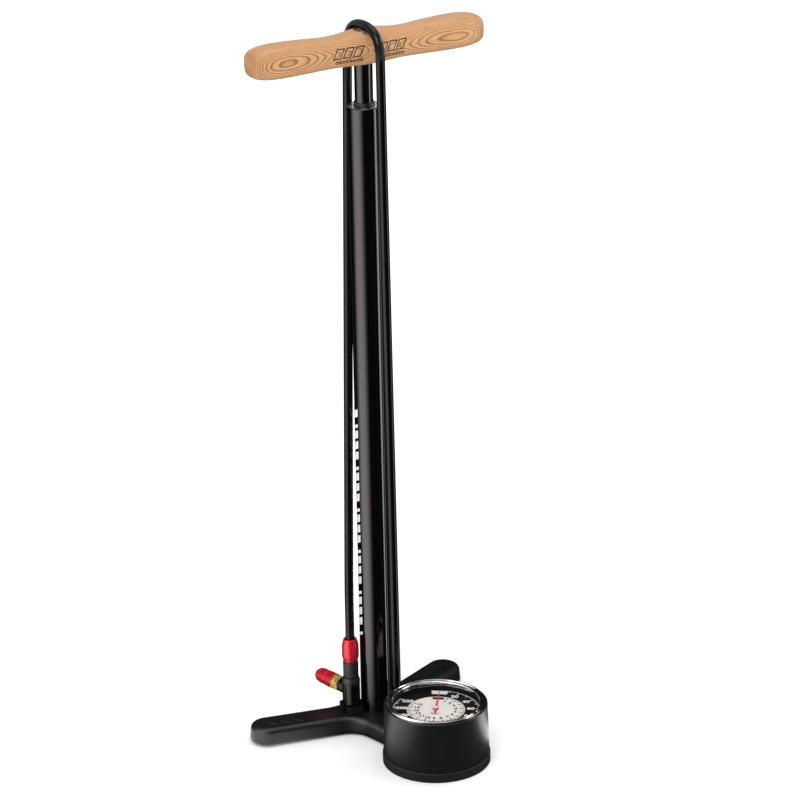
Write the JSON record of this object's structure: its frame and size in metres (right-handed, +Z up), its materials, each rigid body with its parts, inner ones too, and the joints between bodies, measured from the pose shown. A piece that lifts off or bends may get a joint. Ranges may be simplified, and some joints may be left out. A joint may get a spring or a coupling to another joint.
{
  "type": "bicycle floor pump",
  "caption": "Upright bicycle floor pump with wooden handle, steel barrel, legged base with a large round pressure gauge, and a hose with a docked valve chuck.",
  "frame": {"origin": "on the floor, under the barrel's axis", "axes": "+Z up along the barrel, -Y towards the gauge, +X to the right of someone facing the gauge"},
  "size_m": [0.2368, 0.1983, 0.6856],
  "materials": {
    "cast_black": "satin powder coat",
    "gloss_black": "gloss paint",
    "polished_cap": "polished",
    "black_acetal": "semi-matt",
    "nylon": "moulded",
    "black_rubber": "matt",
    "hose_rubber": "smooth semi-gloss",
    "machined_alloy": "turned",
    "steel": "zinc plated",
    "spring_steel": "bright",
    "brass": "machined",
    "ash_wood": "varnished",
    "chrome": "polished",
    "clear_lens": "clear",
    "dial_black": "printed",
    "dial_white": "printed",
    "needle_red": "satin",
    "chuck_black": "gloss anodised",
    "knurl_grey": "matt anodised",
    "red_anodised": "anodised"
  },
  "bodies": {
    "base": {"base_casting": "cast_black", "foot_pad_left": "black_rubber", "foot_pad_right": "black_rubber", "pod_skirt": "black_rubber", "pod_cover": "black_acetal", "cover_screws": "steel", "barrel": "gloss_black", "barrel_cap": "polished_cap", "rod_bushing": "black_acetal", "wiper_seal": "black_rubber", "barrel_plug": "machined_alloy", "plug_o_ring": "black_rubber", "base_bolt": "steel", "valve_retainer": "brass", "valve_spring": "spring_steel", "gauge_case": "steel", "dial_spacer": "dial_black", "lens_gasket": "black_rubber", "gauge_lens": "clear_lens", "gauge_bezel": "chrome", "dial_plate": "dial_black", "dial_disc": "dial_white", "bourdon_tube": "brass", "gauge_socket": "brass", "stem_nut": "brass", "movement_back_plate": "brass", "movement_front_plate": "brass", "hose": "hose_rubber", "outlet_nipple": "brass", "outlet_crimp": "chuck_black", "air_line": "brass", "gauge_elbow": "brass", "chuck_ferrule": "red_anodised", "chuck_stem": "brass", "chuck_collar": "knurl_grey", "chuck_body": "chuck_black", "brass_adapter": "brass", "slip_chuck": "red_anodised", "valve_seal": "black_rubber", "chuck_dock": "black_acetal", "dock_screw": "steel"},
    "piston": {"piston_head": "nylon", "piston_seal": "black_rubber", "piston_guide_ring": "nylon", "piston_rod": "gloss_black", "rod_foot_plug": "machined_alloy", "piston_bolt": "steel", "rod_bumper": "black_rubber", "rod_top_plug": "machined_alloy", "handle_washer": "steel", "handle_bolt": "gloss_black", "handle_grip": "ash_wood"},
    "valve": {"check_valve_poppet": "brass"},
    "sector": {"sector_gear": "brass", "sector_arbor": "steel", "gauge_link": "steel"},
    "needle": {"pinion_arbor": "steel", "needle": "needle_red", "needle_hub": "dial_white"},
    "grip": {"chuck_grip": "knurl_grey"}
  },
  "joints": [
    {"name": "piston_slide", "type": "slide", "parent": "base", "child": "piston", "axis": [0, 0, 1], "range_m": [0, 0.51], "deforming": ["hose"]},
    {"name": "check_valve_lift", "type": "slide", "parent": "base", "child": "valve", "axis": [0, 0, -1], "range_m": [0, 0.0015], "stiffness_N_per_m": 80, "deforming": ["valve_spring"]},
    {"name": "sector_turn", "type": "hinge", "parent": "base", "child": "sector", "pos_m": [0.01338, -0.10574, 0.038], "axis": [0, 0, 1], "range_deg": [0, 37.5], "stiffness_Nm_per_rad": 0.005},
    {"name": "needle_turn", "type": "hinge", "parent": "base", "child": "needle", "pos_m": [0, -0.0937, 0.05], "axis": [0, 0, 1], "range_deg": [-300, 0]},
    {"name": "grip_turn", "type": "hinge", "parent": "base", "child": "grip", "pos_m": [-0.02374, 0.00785, 0.061], "axis": [0, 0, 1], "continuous": true}
  ],
  "couplings": [
    {"joint": "needle_turn", "follows": "sector_turn", "ratio": -8}
  ]
}
